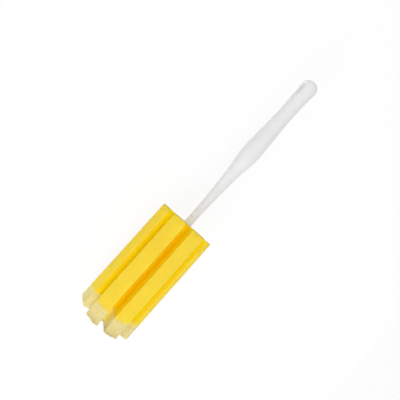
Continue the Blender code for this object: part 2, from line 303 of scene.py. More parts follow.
def lobeCap(lobe):
    # A lobe's end face between its four edges: each point is the sum of the two ways across, less the
    # same mix of the four corners.
    f = foamHead
    mirror = np.array([1.0, -1.0])
    left = capRows(lobe)
    right = capRows(lobe[::-1] * mirror) * mirror
    middle = len(lobe) // 2
    top = lobe[middle - f["halfFaceSteps"] : middle + f["halfFaceSteps"] + 1]
    bottom = arcPoints(0.0, 0.0, coreCircle, -pitch / 2, pitch / 2, 2 * f["halfFaceSteps"])
    length = np.linalg.norm(np.diff((left + right * mirror) / 2, axis=0), axis=1)
    v = np.concatenate([[0.0], np.cumsum(length)])[:, None, None] / length.sum()
    u = np.linspace(0.0, 1.0, len(top))[None, :, None]
    sides = (1 - u) * left[:, None] + u * right[:, None]
    ends = (1 - v) * bottom[None] + v * top[None]
    corners = (1 - v) * ((1 - u) * left[0] + u * right[0]) + v * ((1 - u) * left[-1] + u * right[-1])
    return sides + ends - corners


def coreRings(radii):
    # Rings round the axis inside the core circle, as (y, z), with the columns of the lobes' caps.
    columns = foamHead["lobes"] * 2 * foamHead["halfFaceSteps"]
    angle = np.linspace(-pitch / 2, math.tau - pitch / 2, columns + 1)
    angle[-1] = angle[0]
    radii = np.asarray(radii, float)[:, None]
    return radii * np.sin(angle), radii * np.cos(angle)


def endFace(outlines, inner, rings, level):
    # A whole end face: the lobes' caps, and rings down to the inner radius. level(y, z) is its x.
    places = [onRing(lobeCap(outline), lobe * pitch) for lobe, outline in enumerate(outlines)]
    places.append(coreRings(np.linspace(coreCircle, inner, rings)))
    return [onAxis(level(y, z), y, z) for y, z in places]


def lobedSides(rowsOfX, outlines):
    # The head's outside: rowsOfX has an x for each row, lobe and column, and outlines their places.
    y, z = lobesToAxis(outlines)
    return [onAxis(rowsOfX[:, lobe], y[:, lobe], z[:, lobe]) for lobe in range(foamHead["lobes"])]


foamSkin = {
    "waves": (0.00010, 0.034),  # height and size
    "ripples": (0.00003, 0.0060),
    "lumps": (0.00003, 0.0019),
    "poreSize": 0.0018,
    "poreCells": (0.10, 0.48),  # a pore is whole up to the first distance from its centre, in cells
    # In the fine foam, how much more in the coarse one, and how much more at its cut end.
    "poreShare": (0.07, 0.13, 0.40),
    "poreDepth": (0.00008, 0.00010, 0.00042),
    "wholeShare": 0.4,  # of the pores, how many have their whole depth
}


def foamSurface(points, coarse, endShare):
    # How far a foam's skin stands out: long waves from the saw, small lumps, and open pores that are
    # deeper and more frequent in the coarse foam and at its cut end.
    s = foamSkin
    kinds = ("waves", "ripples", "lumps")
    waves, ripples, lumps = [s[kind][0] * softNoise(points, s[kind][1], seeds[kind]) for kind in kinds]
    away, own = nearestCell(points, s["poreSize"], seeds["pores"])
    amounts = (s["poreShare"], s["poreDepth"])
    share, depth = [fine + more * coarse + most * endShare for fine, more, most in amounts]
    pores = ease(own, 1.0 - share, 1.0 - share * s["wholeShare"]) * (1.0 - ease(away, *s["poreCells"]))
    return waves + ripples + lumps * (1 + coarse) - pores * depth


spongeBody = {
    "rows": 186,
    "faceRings": 8,
    "bondRings": 3,
    "sharpAngle": 50,  # a bend of more degrees is shaded as an edge
    "boreRadius": 0.0043,
    "barbs": 8,
    "barbHeight": 0.0015,
    "barbLength": 0.0060,
    "firstBarb": 0.0137,
    "barbPitch": 0.0105,
    "rodEnd": 0.1017,
    "pocketRadius": 0.0083,
}


def barbOutline(first, radius):
    # The barbs of the core's rod, or the foam's bore round them, as (x, radius).
    s = spongeBody
    outline = []
    for number in range(s["barbs"]):
        back = first + number * s["barbPitch"]
        outline += [(back, radius), (back, radius + s["barbHeight"]), (back + s["barbLength"], radius)]
    return outline


def makeSpongeBody():
    s = spongeBody
    outlines = wholeLobe(np.full((s["rows"] + 1, foamHead["lobes"]), foamHead["radius"]))
    y, z = lobesToAxis(outlines[:1])
    end = bondPlane(y, z, -1)
    share = np.linspace(0.0, 1.0, s["rows"] + 1)[:, None, None]
    sides = lobedSides(share * end, outlines)

    start = endFace(outlines[0], s["boreRadius"], s["faceRings"], lambda y, z: y * 0)
    finish = endFace(outlines[0], s["pocketRadius"], s["bondRings"], lambda y, z: bondPlane(y, z, -1))
    bore = [(0.0, s["boreRadius"]), *barbOutline(s["firstBarb"], s["boreRadius"])]
    bore += [(s["rodEnd"], s["boreRadius"]), (s["rodEnd"], s["pocketRadius"])]
    x, radius = np.array(bore).T
    inside = onAxis(x[:, None], *coreRings(radius))
    y, z = coreRings([s["pocketRadius"]] * 2)
    mouth = bondPlane(y[1], z[1], -1)
    pocket = onAxis(np.stack([np.full_like(mouth, s["rodEnd"]), mouth]), y, z)
    piece = buildPiece("sponge_body_foam", [*sides, *start, *finish, inside, pocket], s["sharpAngle"])
    pushOut(piece, lambda points: foamSurface(points, 0.0, 0.0) * outside(points))
    return piece


def outside(points):
    # 1 on the lobes and 0 in the bore, so that only what shows is rough.
    away = np.hypot(points[:, 1], points[:, 2] - axisHeight)
    margin = foamHead["roughMargin"]
    return ease(away, coreCircle - margin, coreCircle + margin)


spongeTip = {
    "rows": 40,
    "edgeRows": 10,
    "endRings": 18,
    "bondRings": 8,
    "sharpAngle": 55,
    "commonEdge": 0.0030,  # rounding of the end's edge at the slots' roots
    # Each lobe by itself, from the one straight up towards +Y, fitted to the photo's outline: the rounding
    # of its outer end edge, how far it is cut short, how much more it is short on its first side than on
    # its second, how round its first and second corners become, and how far these sides swell out.
    "edge": [0.0006, 0.0020, 0.0040, 0.0045, 0.0040, 0.0035, 0.0027, 0.0017],
    "short": [-0.0003, 0.0014, 0.0012, 0.0010, 0.0014, 0.0019, 0.0031, -0.0002],
    "slant": [-0.0006, 0.0021, 0.0, -0.0005, 0.0003, 0.0001, 0.0015, 0.0004],
    "corners": [
        [0.0026, 0.0007, 0.0010, 0.0009, 0.0012, 0.0007, 0.0031, 0.0025],
        [0.0011, 0.0007, 0.0010, 0.0012, 0.0009, 0.0008, 0.0007, 0.0029],
    ],
    "swells": [
        [-0.0010, -0.0002, 0.0, 0.0, 0.0, 0.0, -0.0010, 0.0],
        [0.0008, -0.0005, 0.0, 0.0, 0.0, 0.0, -0.0010, 0.0009],
    ],
    "coreShort": 0.0006,
    "lobeStart": (0.0105, 0.0190),  # from the axis, where its own length and edge start and are whole
    "slantReach": 1.35,  # above 1 a lobe's slant is whole before its sides
    "endWaves": (0.00035, 0.0045),  # height and size
    "endRipples": (0.00022, 0.0017),
    "coarseFrom": (0.0002, 0.0030),  # past the bond, where the coarse skin starts and is whole
    "insideFrom": (0.004, 0.006),  # and where it is rough up to the axis
    "raggedFrom": (0.0075, 0.0015),  # before the end, where it gets ragged
    "pocketRadius": 0.0033,
    "pocketDepth": 0.0028,
}


def tipEnd(y, z):
    # The cut end: each lobe's own length and slant, fading towards the core.
    s = spongeTip
    away = np.hypot(y, z)
    turn = np.arctan2(y, z) / pitch
    lobe = np.rint(turn).astype(int)
    across = np.clip((turn - lobe) * 2 * s["slantReach"], -1, 1)
    lobe = lobe % foamHead["lobes"]
    own = np.array(s["short"])[lobe] - np.array(s["slant"])[lobe] * across
    share = ease(away, *s["lobeStart"])
    points = np.stack([y * 0, y, z], axis=-1).reshape(-1, 3)
    kinds = ("endWaves", "endRipples")
    wave = sum(softNoise(points, s[kind][1], seeds[kind]) * s[kind][0] for kind in kinds)
    return headLength - s["coreShort"] * (1 - share) - own * share + wave.reshape(y.shape)


def makeSpongeTip():
    s = spongeTip
    edge = np.array(s["edge"])
    angle = np.linspace(0.0, math.pi / 2, s["edgeRows"] + 1)[:, None]
    outer = np.full((s["rows"], foamHead["lobes"]), foamHead["radius"])
    radii = np.concatenate([outer, foamHead["radius"] - edge * (1 - np.cos(angle))])
    # Corners and swells grow from nothing at the bond to half where the edge starts to round, then whole.
    straight = ease(np.arange(s["rows"]), 0, s["rows"])
    grown = np.concatenate([straight * 0.5, 0.5 + 0.5 * np.sin(angle[:, 0])])
    plain = foamHead["cornerRadius"]
    corners = [plain + (np.array(own) - plain) * grown[:, None] for own in s["corners"]]
    swells = [np.array(own) * grown[:, None] for own in s["swells"]]
    outlines = wholeLobe(radii, corners, swells)
    y, z = lobesToAxis(outlines)
    start = bondPlane(y[0], z[0], 1)
    end = tipEnd(y[-1], z[-1])
    # The edge's depth goes over to the common one down each slot's wall.
    away = np.hypot(y[-1], z[-1])
    depth = s["commonEdge"] + (edge[:, None] - s["commonEdge"]) * ease(away, *s["lobeStart"])
    share = np.linspace(0.0, 1.0, s["rows"] + 1)[:-1, None, None]
    straight = start + (end - depth - start) * share
    bend = end - depth * (1 - np.sin(angle))[:, :, None]
    sides = lobedSides(np.concatenate([straight, bend]), outlines)

    finish = endFace(outlines[-1], 0.0, s["endRings"], tipEnd)
    base = endFace(outlines[0], s["pocketRadius"], s["bondRings"], lambda y, z: bondPlane(y, z, 1))
    y, z = coreRings([s["pocketRadius"], s["pocketRadius"], 0.0])
    mouth = bondPlane(y[0], z[0], 1)
    floor = np.full_like(mouth, bodyLength + s["pocketDepth"])
    pocket = onAxis(np.stack([mouth, floor, floor]), y, z)
    piece = buildPiece("sponge_tip_foam", [*sides, *finish, *base, pocket], s["sharpAngle"])

    def skin(points):
        along = points[:, 0] - foamFace
        places = (s["coarseFrom"], s["insideFrom"])
        coarse, inside = [ease(along, bodyLength + start, bodyLength + end) for start, end in places]
        start, end = s["raggedFrom"]
        endShare = ease(along, headLength - start, headLength - end)
        return foamSurface(points, coarse, endShare) * np.maximum(outside(points), inside)

    pushOut(piece, skin)
    return piece


# Core: its neck shows between the handle and the foam, and its barbed rod is inside the foam

headCore = {
    "neckLength": 0.0080,
    "neckRadius": 0.0040,
    "footRadius": 0.0048,
    "footHeight": 0.0045,
    "footSteps": 8,
    "socketEnd": 0.0220,
    "socketRadius": 0.0027,
    "rodRadius": 0.0040,
    "firstBarb": 0.0140,
    "pilotRadius": 0.0018,
    "pilotEnd": 0.0857,
    "edge": 0.00025,
    "columns": 96,
    "sharpAngle": 40,
}
snapBead = {
    "place": 0.0140,
    "height": 0.0005,
    "width": 0.0016,
    "slope": 0.25,  # each slope's share of the width
}
fit = 0.0003  # the gap between parts that are pushed together


def beadOutline(radius, grown):
    # The handle's snap bead, or the groove for it: a low ridge with a slope on each side.
    front, back = snapBead["place"] + grown, snapBead["place"] - grown - snapBead["width"]
    slope = snapBead["width"] * snapBead["slope"]
    high = radius + snapBead["height"]
    return [(front, radius), (front - slope, high), (back + slope, high), (back, radius)]


def makeHeadCore():
    s = headCore
    rodEnd = spongeBody["rodEnd"]
    outline = [(s["socketEnd"], 0.0), (s["socketEnd"], s["socketRadius"])]
    outline += beadOutline(s["socketRadius"], fit / 2)
    outline += [(-s["neckLength"], s["socketRadius"]), (-s["neckLength"], s["neckRadius"])]
    flare = s["footRadius"] - s["neckRadius"]
    for share in np.linspace(0.0, 1.0, s["footSteps"] + 1):
        # a quarter of an ellipse, level where it leaves the neck
        x = -fit - s["footHeight"] * (1 - share)
        outline.append((x, s["neckRadius"] + flare * (1 - math.sqrt(1 - share**2))))
    outline += [(-fit, s["rodRadius"]), *barbOutline(s["firstBarb"], s["rodRadius"])]
    outline += [(rodEnd, s["rodRadius"]), (rodEnd, s["pilotRadius"])]
    outline += [(s["pilotEnd"], s["pilotRadius"]), (s["pilotEnd"], 0.0)]
    patch = turned(softened(outline, s["edge"]), allRound(s["columns"]))
    return buildPiece("head_core_moulding", [patch], s["sharpAngle"])


# Handle: a turned moulding whose round end has a slot through it along Y

grip = {
    # Stations from the foam's face: distance and diameter. The last is the round end's centre.
    "stations": [
        (0.0080, 0.0079),
        (0.0400, 0.0098),
        (0.0680, 0.0137),
        (0.0940, 0.0190),
        (0.1470, 0.0153),
        (0.1725, 0.0166),
        (0.1820, 0.0177),
    ],
    "endLength": 0.0080,
    "endSteps": 11,
    "joint": 0.00005,  # the hairline between the handle and the core's neck
    "stemEnd": 0.0020,  # past the joint, where the turned end goes over to the stem
    "rows": 190,
    "columns": 96,
    "spigotRadius": 0.0024,
    "spigotEnd": 0.0200,
    "spigotChamfer": 0.0008,
    "slotLength": 0.0150,
    "slotWidth": 0.0068,
    "slotCorner": 0.0024,
    "slotFromEnd": 0.0072,
    "slotEdge": 0.0007,
    "edge": 0.0003,
    "patchStart": 0.1625,  # the stretch round the slot, from the foam's face
    "patchEnd": 0.1866,
    "patchRows": 16,
    "patchSpread": 1.15,  # above 1 its rings are closer together near the slot
    "patchSteps": 56,
    "slotEdgeSteps": 5,
    "slotWallSteps": 12,
    "slotCornerSteps": 8,
    "sharpAngle": 40,
}


def gripRadius(fromFoam):
    # A smooth curve through the stations, cubic between each two, level at each largest and smallest one
    # and with the harmonic mean of its neighbours' slopes elsewhere. Past the last, half an ellipse.
    station, radius = np.array(grip["stations"]).T * np.array([[1.0], [0.5]])
    rise = np.diff(radius) / np.diff(station)
    both = rise[:-1] * rise[1:]
    mean = np.where(both > 0, 2 * both / np.where(both > 0, rise[:-1] + rise[1:], 1.0), 0.0)
    slope = np.concatenate([[0.0], mean, [0.0]])
    span = np.clip(np.searchsorted(station, fromFoam) - 1, 0, len(rise) - 1)
    width = np.diff(station)[span]
    t = (fromFoam - station[span]) / width
    curve = (
        radius[span] * (1 + 2 * t) * (1 - t) ** 2
        + slope[span] * width * t * (1 - t) ** 2
        + radius[span + 1] * t**2 * (3 - 2 * t)
        + slope[span + 1] * width * t**2 * (t - 1)
    )
    past = np.clip((fromFoam - station[-1]) / grip["endLength"], 0.0, 1.0)
    return np.where(fromFoam > station[-1], radius[-1] * np.sqrt(1 - past**2), curve)


def gripPoint(fromFoam, angle):
    # On the handle's skin. The angle counts from +Y towards +Z.
    radius = gripRadius(fromFoam)
    return onAxis(-fromFoam, radius * np.cos(angle), radius * np.sin(angle))


def slotOutline(grown):
    # The slot seen along Y, a rectangle with round corners, as (from the foam, z). Its four sides each
    # run from the middle of one corner to the middle of the next, and have as many points as the
    # stretch's own four sides.
    s = grip
    halfLong = s["slotLength"] / 2 + grown
    halfHigh = s["slotWidth"] / 2 + grown
    corner = s["slotCorner"] + grown
    centre = handleEnd - s["slotFromEnd"] - s["slotLength"] / 2
    counts = [s["columns"] // 2, s["patchSteps"]] * 2
    points = []
    for side, count in enumerate(counts):
        long, high = (halfLong, halfHigh) if side % 2 == 0 else (halfHigh, halfLong)
        bend = arcPoints(long - corner, high - corner, corner, 0.0, math.pi / 4, s["slotCornerSteps"])
        dense = np.concatenate([bend[::-1] * np.array([1, -1]), bend])
        length = np.concatenate([[0.0], np.cumsum(np.linalg.norm(np.diff(dense, axis=0), axis=1))])
        even = np.linspace(0.0, length[-1], count + 1)
        out = np.interp(even, length, dense[:, 0])
        over = np.interp(even, length, dense[:, 1])
        turn = side * math.pi / 2
        x = out * math.cos(turn) - over * math.sin(turn)
        z = out * math.sin(turn) + over * math.cos(turn)
        points.append(np.stack([centre - x, z], axis=-1)[: None if side == 3 else -1])
    return np.concatenate(points)


def slotPatches():
    # The skin on one side runs in rings from the slot's rounded edge to the stretch's outline. The edge
    # is the curve (1-t)^2 a + 2t(1-t) b + t^2 c, from the skin past the sharp edge b into the wall.
    s = grip
    half = math.pi / 2
    across = np.linspace(-half, half, s["columns"] // 2 + 1)
    along = np.linspace(s["patchStart"], s["patchEnd"], s["patchSteps"] + 1)
    sides = [(along[0], across), (along, half), (along[-1], across[::-1]), (along[::-1], -half)]
    sides = [np.stack(np.broadcast_arrays(*side), axis=-1) for side in sides]
    rim = np.concatenate([*[side[:-1] for side in sides[:3]], sides[3]])
    wide = slotOutline(s["slotEdge"])
    wide[:, 1] = np.arcsin(wide[:, 1] / gripRadius(wide[:, 0]))
    share = np.linspace(0.0, 1.0, s["patchRows"] + 1)[:, None, None] ** s["patchSpread"]
    skin = wide * (1 - share) + rim * share
    skin = gripPoint(skin[..., 0], skin[..., 1])

    mouth = slotOutline(0.0)
    sharp = gripPoint(mouth[:, 0], np.arcsin(mouth[:, 1] / gripRadius(mouth[:, 0])))
    below = sharp - np.array([0.0, s["slotEdge"], 0.0])
    t = np.linspace(0.0, 1.0, s["slotEdgeSteps"] + 1)[:, None, None]
    bend = (1 - t) ** 2 * skin[0] + 2 * t * (1 - t) * sharp + t**2 * below
    mirror = np.array([1.0, -1.0, 1.0])
    wall = below + (below * mirror - below) * np.linspace(0.0, 1.0, s["slotWallSteps"] + 1)[:, None, None]
    return [skin, bend, wall, skin * mirror, bend * mirror]


def makeHandle():
    s = grip
    neck = headCore["neckLength"] + s["joint"]
    spigot = [
        (s["spigotEnd"], 0.0),
        (s["spigotEnd"], s["spigotRadius"] - s["spigotChamfer"]),
        (s["spigotEnd"] - s["spigotChamfer"], s["spigotRadius"]),
        *beadOutline(s["spigotRadius"], 0.0),
        (-neck, s["spigotRadius"]),
        (-neck, gripRadius(np.array([neck]))[0]),
        (-neck - s["stemEnd"], gripRadius(np.array([neck + s["stemEnd"]]))[0]),
    ]
    angle = allRound(s["columns"], -math.pi / 2)
    stem = np.linspace(neck + s["stemEnd"], s["patchStart"], s["rows"])[:, None]
    bulb = s["stations"][-1][0]
    end = np.linspace(math.asin((s["patchEnd"] - bulb) / s["endLength"]), math.pi / 2, s["endSteps"] + 1)
    dome = bulb + s["endLength"] * np.sin(end)[:, None]
    dome[-1] = handleEnd
    patches = [turned(softened(spigot, s["edge"]), angle), gripPoint(stem, angle), gripPoint(dome, angle)]
    return buildPiece("handle_moulding", patches + slotPatches(), s["sharpAngle"])


handlePiece = makeHandle()
corePiece = makeHeadCore()
bodyPiece = makeSpongeBody()
tipPiece = makeSpongeTip()
for piece in (handlePiece, corePiece, bodyPiece, tipPiece):
    print("shaped", piece.name, "with", len(piece.data.polygons), "faces")


# Finishes

def place(tree, kind, inputs=None, **settings):
    # Adds a node. An input is a value or another node's output.
    node = tree.nodes.new(kind)
    for name, value in settings.items():
        setattr(node, name, value)
    for name, value in (inputs or {}).items():
        if isinstance(value, bpy.types.NodeSocket):
            tree.links.new(value, node.inputs[name])
        else:
            node.inputs[name].default_value = value
    return node


def maths(tree, operation, first, second=0.0):
    return place(tree, "ShaderNodeMath", {0: first, 1: second}, operation=operation).outputs[0]


def product(tree, value, *others):
    for other in others:
        value = maths(tree, "MULTIPLY", value, other)
    return value


def vectorMaths(tree, operation, *vectors):
    return place(tree, "ShaderNodeVectorMath", dict(enumerate(vectors)), operation=operation).outputs


def noise(tree, points, scale, detail):
    inputs = {"Vector": points, "Scale": scale, "Detail": detail}
    return place(tree, "ShaderNodeTexNoise", inputs).outputs


def between(tree, value, low, high, toLow=0.0, toHigh=1.0):
    # A value's place between two others, eased at both ends.
    inputs = {"Value": value, "From Min": low, "From Max": high, "To Min": toLow, "To Max": toHigh}
    node = place(tree, "ShaderNodeMapRange", inputs, interpolation_type="SMOOTHSTEP")
    return node.outputs["Result"]


def blend(tree, factor, first, second, kind="MIX"):
    # Mixes two colours, each a node's output or three numbers.
    first, second = [(*colour, 1.0) if isinstance(colour, tuple) else colour for colour in (first, second)]
    inputs = {0: factor, 6: first, 7: second}
    return place(tree, "ShaderNodeMix", inputs, data_type="RGBA", blend_type=kind).outputs[2]


def newGroup(name, inputs, outputs):
    group = bpy.data.node_groups.new(name, "ShaderNodeTree")
    for label in inputs:
        kind = "NodeSocketVector" if label == "Place" else "NodeSocketFloat"
        group.interface.new_socket(name=label, in_out="INPUT", socket_type=kind)
    for label in outputs:
        group.interface.new_socket(name=label, in_out="OUTPUT", socket_type="NodeSocketFloat")
    start = group.nodes.new("NodeGroupInput")
    end = group.nodes.new("NodeGroupOutput")
    return group, start.outputs, end


def giveOut(group, end, **values):
    for label, value in values.items():
        group.links.new(value, end.inputs[label])


foamCells = {
    "warp": 0.6,  # bends of the pattern in a cell's width
    "hollow": (0.03, 0.32),  # from a cell's wall, in cells, where it starts to sink and is deepest
    "opening": 0.12,  # cells in this share are partly open
    "closedDepth": 0.3,  # beside an open cell's
    "clumps": 0.07,  # broad clumps in a cell's width
}


def makeCellsGroup():
    # Open foam cells: each hollow is deepest away from its cell's walls, and a share of them is open.
    s = foamCells
    outputs = ["Height", "Pores", "Clumps"]
    group, start, end = newGroup("foam cells", ["Place", "Cell size", "Open share"], outputs)
    points, size = start["Place"], start["Cell size"]
    scale = maths(group, "DIVIDE", 1.0, size)
    warp = noise(group, points, product(group, scale, s["warp"]), 1.0)["Color"]
    moved = vectorMaths(group, "ADD", points, vectorMaths(group, "MULTIPLY", warp, size)[0])[0]
    walls, cells = [
        place(group, "ShaderNodeTexVoronoi", {"Vector": moved, "Scale": scale}, feature=feature).outputs
        for feature in ("DISTANCE_TO_EDGE", "F1")
    ]
    own = place(group, "ShaderNodeSeparateColor", {"Color": cells["Color"]}).outputs["Red"]
    hollow = between(group, walls["Distance"], *s["hollow"])
    closed = maths(group, "SUBTRACT", 1.0, start["Open share"])
    isOpen = between(group, own, closed, maths(group, "ADD", closed, s["opening"]))
    depth = maths(group, "ADD", product(group, isOpen, 1.0 - s["closedDepth"]), s["closedDepth"])
    clumps = noise(group, points, product(group, scale, s["clumps"]), 3.0)["Fac"]
    height, pores = product(group, hollow, depth, -1.0), product(group, hollow, isOpen)
    giveOut(group, end, Height=height, Pores=pores, Clumps=clumps)
    return group


cellsGroup = makeCellsGroup()


def newMaterial(name, inputs):
    made = bpy.data.materials.new(name)
    made.use_nodes = True
    tree = made.node_tree
    shader = tree.nodes["Principled BSDF"]
    for label, value in inputs.items():
        shader.inputs[label].default_value = value
    coordinates = tree.nodes.new("ShaderNodeTexCoord").outputs["Object"]
    return made, tree, shader, coordinates


yellowFoam = {
    "face": (0.890, 0.658, 0.054),
    # slot and deep: lighter, deeper yellows in the slots, painted light standing in for light carried into
    # them
    "slot": (0.999, 0.810, 0.002),
    "deep": (0.998, 0.780, 0.001),
    "pore": (0.97, 0.600, 0.020),
    "poreShare": 0.35,
    "clumps": (0.985, 1.012),  # the tones that broad clumps give
    "cellSize": 0.00075,
    "openShare": 0.20,
    "cellDepth": 0.00010,
    "glowColours": (1.0, 0.45, 0.06),
}
creamFoam = {
    "face": (0.822, 0.700, 0.312),
    # slot and deep: lighter creams in the slots, painted light standing in for light carried into them
    "slot": (0.910, 0.825, 0.430),
    "deep": (0.975, 0.870, 0.310),
    "pore": (0.62, 0.480, 0.200),
    "poreShare": 0.45,
    "clumps": (0.96, 1.02),
    "cellSize": 0.00095,
    "openShare": 0.30,
    "cellDepth": 0.00022,
    "glowColours": (1.0, 0.7, 0.25),
}
foamTones = {
    "roughness": 0.85,
    "specular": 0.08,
    "glow": 0.6,  # how much light spreads inside the foam
    "glowReach": 0.0010,
    "bumpStrength": 0.8,
    "bondBlend": 0.0024,  # the colours run into each other this far on each side of the bond
    # The glue line isn't quite square: one way out from the axis, in degrees from straight up towards
    # +Y, the colours meet nearer to the tip, and elsewhere nearer to the handle.
    "bondTurn": -27.0,
    "bondFacing": (0.66, 0.96),  # cosines of the angle from there at which the shift starts and is whole
    "bondShift": (-0.0027, 0.0008),
    "bondDepth": (0.0105, 0.0190),  # from the axis, over which the shift grows
    # slotDepth and deepest place the slots' painted light
    "slotDepth": (0.0003, 0.0040),  # the slot's colour starts and is whole this far below the outer face
    "deepest": (0.0100, 0.0150),  # and the colour at its bottom
    "slotFrom": (0.0, 0.0015),  # both start and are whole this far past the handle's side
    "slotUpTo": (0.0020, 0.0004),  # and fade and are gone this far before the tip's end
    "clumpNoise": (0.3, 0.7),  # the stretch of their noise that the clumps' tones cover
    # Tones of painted shade that darken the colour, and between which places, past the handle's side or
    # before the tip's end, they change.
    # painted shade on the thin outer edge at the handle's side
    "paintedShadeEdge": (0.96, 0.60),  # elsewhere, and on the cut's thin outer edge at the handle's side
    "paintedShadeEdgeWidth": (0.0011, 0.0003),  # starts and is whole this far below the outer face
    "paintedShadeEdgeLength": (-0.0002, 0.0016),
    # painted shade over the first stretch past the handle's side
    "handleShade": 0.96,
    "handleShadeLength": (0.0010, 0.0080),
    # painted shade, darker towards the tip's cut end and on its rounded rim
    "tipEnd": 0.86,
    "tipEndLength": (0.0110, 0.0),
    "rimShade": 0.86,
    "rimShadeLength": (0.0030, 0.0005),
    "endPores": 0.9,  # how dark the open cells are at the tip's end
    "endPoresLength": (0.0060, 0.0010),
}


def makeFoamMaterial(name, look):
    # The colour goes from the face's to the slot's with the depth below the outer faces, but not on the
    # cut ends, and from one foam's to the other's across the bond, shifted a little. The slots' lighter
    # colours are painted light. Open cells are darker; painted shade darkens the thin outer edge at the
    # handle's side, the first stretch past it, the tip's cut end and its rim; broad clumps change it
    # slightly.
    s = foamTones
    tipFace = foamFace + headLength
    inputs = {
        "Roughness": s["roughness"],
        "Specular IOR Level": s["specular"],
        "Subsurface Weight": s["glow"],
        "Subsurface Radius": look["glowColours"],
        "Subsurface Scale": s["glowReach"],
    }
    made, tree, shader, coordinates = newMaterial(name, inputs)
    inputs = {"Place": coordinates, "Cell size": look["cellSize"], "Open share": look["openShare"]}
    cells = place(tree, "ShaderNodeGroup", inputs, node_tree=cellsGroup).outputs
    inputs = {"Vector": coordinates, "Location": (0.0, 0.0, -axisHeight), "Scale": (0.0, 1.0, 1.0)}
    fromAxis = place(tree, "ShaderNodeMapping", inputs).outputs[0]
    away = vectorMaths(tree, "LENGTH", fromAxis)["Value"]
    along = place(tree, "ShaderNodeSeparateXYZ", {"Vector": coordinates}).outputs["X"]

    def below(places, *tones):
        return between(tree, away, *[foamHead["radius"] - depth for depth in places], *tones)

    def pastHandleSide(places, *tones):
        return between(tree, along, *[foamFace + x for x in places], *tones)

    def beforeTipEnd(places, *tones):
        return between(tree, along, *[tipFace - x for x in places], *tones)

    inside = product(tree, pastHandleSide(s["slotFrom"]), beforeTipEnd(s["slotUpTo"], 1.0, 0.0))
    depths = (s["slotDepth"], s["deepest"])
    # the slots' painted light grows with the depth below the outer faces
    slotLight, deep = [product(tree, inside, below(depth[::-1], 1.0, 0.0)) for depth in depths]
    colours = [
        blend(tree, deep, blend(tree, slotLight, foam["face"], foam["slot"]), foam["deep"])
        for foam in (yellowFoam, creamFoam)
    ]
    turn = math.radians(s["bondTurn"])
    outward = vectorMaths(tree, "NORMALIZE", fromAxis)[0]
    facing = vectorMaths(tree, "DOT_PRODUCT", outward, (0.0, math.sin(turn), math.cos(turn)))["Value"]
    shift = between(tree, facing, *s["bondFacing"], *s["bondShift"])
    shift = product(tree, shift, between(tree, away, *s["bondDepth"]))
    bond, reach = foamFace + bodyLength, s["bondBlend"]
    pastBond = between(tree, maths(tree, "SUBTRACT", along, shift), bond - reach, bond + reach)
    dark = beforeTipEnd(s["endPoresLength"], look["poreShare"], s["endPores"])
    pores = product(tree, cells["Pores"], dark)
    colour = blend(tree, pores, blend(tree, pastBond, *colours), look["pore"])
    # painted shade on the thin outer edge at the handle's side
    paintedShade = product(tree, below(s["paintedShadeEdgeWidth"]), pastHandleSide(s["paintedShadeEdgeLength"], 1.0, 0.0))
    tone = product(
        tree,
        between(tree, cells["Clumps"], *s["clumpNoise"], *look["clumps"]),
        between(tree, paintedShade, 0.0, 1.0, *s["paintedShadeEdge"]),
        # painted shade past the handle's side
        pastHandleSide(s["handleShadeLength"], s["handleShade"], 1.0),
        # painted shade towards the tip's cut end and on its rim
        beforeTipEnd(s["tipEndLength"], 1.0, s["tipEnd"]),
        beforeTipEnd(s["rimShadeLength"], 1.0, s["rimShade"]),
    )
    grey = place(tree, "ShaderNodeCombineColor", {"Red": tone, "Green": tone, "Blue": tone}).outputs[0]
    tree.links.new(blend(tree, 1.0, colour, grey, "MULTIPLY"), shader.inputs["Base Color"])
    addBump(tree, shader, cells["Height"], look["cellDepth"], s["bumpStrength"])
    return made


def addBump(tree, shader, height, distance, strength):
    bump = place(tree, "ShaderNodeBump", {"Height": height, "Distance": distance, "Strength": strength})
    tree.links.new(bump.outputs["Normal"], shader.inputs["Normal"])


plasticSkin = {
    "grainSize": 0.0004,
    "grain": 0.2,  # the grain's height beside the slow unevenness
    "slow": 0.05,  # bends of the unevenness in a grain's width
    "streaks": 0.35,
    "streakStretch": 0.15,
    "rubbed": (0.50, 0.75),  # the streaks' noise where the rubbed skin starts and is whole
    "rubbedRough": 0.12,  # how much rougher it is there
    "dullNoise": (0.35, 0.65),  # the slow noise where the dull tone starts and is whole
    "slotMargin": 0.0003,
    "height": 0.00012,
    "bumpStrength": 0.5,
}


def makePlasticGroup():
    # Moulded plastic: a very fine grain, a slow unevenness of the skin, and faint rubbed streaks.
    s = plasticSkin
    group, start, end = newGroup("moulded skin", ["Place", "Grain size"], ["Height", "Rubbed", "Tone"])
    points = start["Place"]
    scale = maths(group, "DIVIDE", 1.0, start["Grain size"])
    grain = noise(group, points, scale, 3.0)["Fac"]
    slow = noise(group, points, product(group, scale, s["slow"]), 2.0)["Fac"]
    inputs = {"Vector": points, "Scale": (s["streakStretch"], 1.0, 1.0)}
    stretched = place(group, "ShaderNodeMapping", inputs).outputs[0]
    streaks = noise(group, stretched, product(group, scale, s["streaks"]), 4.0)["Fac"]
    height = maths(group, "ADD", product(group, grain, s["grain"]), slow)
    giveOut(group, end, Height=height, Rubbed=between(group, streaks, *s["rubbed"]), Tone=slow)
    return group


plasticGroup = makePlasticGroup()
handlePlastic = {
    "colour": (0.76, 0.76, 0.76),
    "dull": (0.74, 0.74, 0.74),
    # painted light: the slot's shaded walls are drawn lighter
    "slotLight": (0.89, 0.89, 0.89),
    "roughness": 0.40,
}
corePlastic = {
    "colour": (0.80, 0.80, 0.78),
    "dull": (0.76, 0.75, 0.72),
    "slotLight": (0.80, 0.80, 0.78),
    "roughness": 0.42,
}


